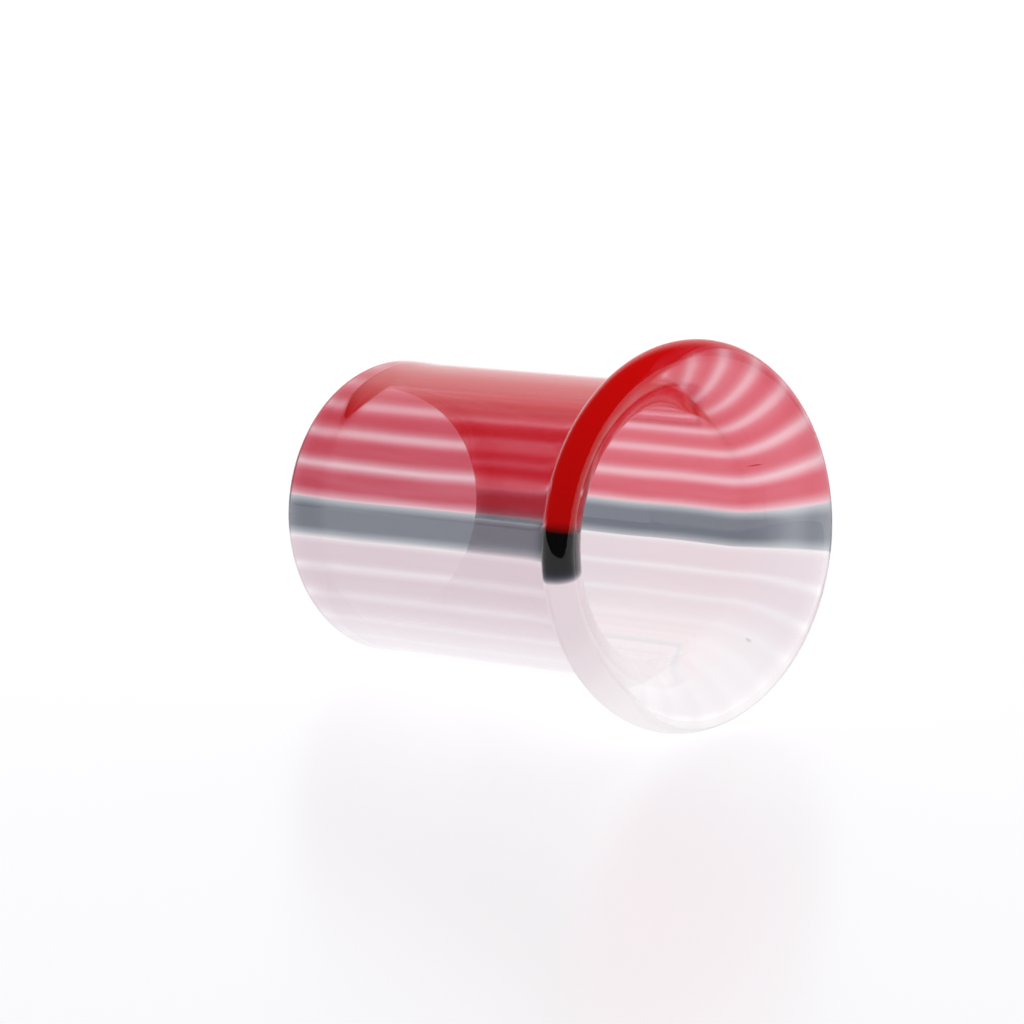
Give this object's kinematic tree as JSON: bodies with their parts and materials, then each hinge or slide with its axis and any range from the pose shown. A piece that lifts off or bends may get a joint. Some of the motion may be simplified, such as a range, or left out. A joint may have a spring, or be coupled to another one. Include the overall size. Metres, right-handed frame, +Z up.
{
  "type": "single flare flesh tunnel",
  "caption": "Hollow glass ear tunnel with one flared end and a plain rounded end, lined with red canes above, clear canes below and a black line on each side.",
  "frame": {"origin": "on the surface that the tunnel lies on, under the middle of its bounding box", "axes": "+Z up; -Y is the flared front end and +Y the plain end; the tunnel's axis runs front to back and rises towards the flare, as it lies by itself"},
  "size_m": [0.013, 0.0162, 0.0129],
  "materials": {
    "red_glass": "fire polished, transparent red with fine clear joints",
    "clear_glass": "fire polished, clear with a faint pink tint",
    "black_glass": "fire polished, smoke black"
  },
  "bodies": {
    "root": {"red_glass": "red_glass", "clear_glass": "clear_glass", "black_line_left": "black_glass", "black_line_right": "black_glass"}
  },
  "joints": []
}
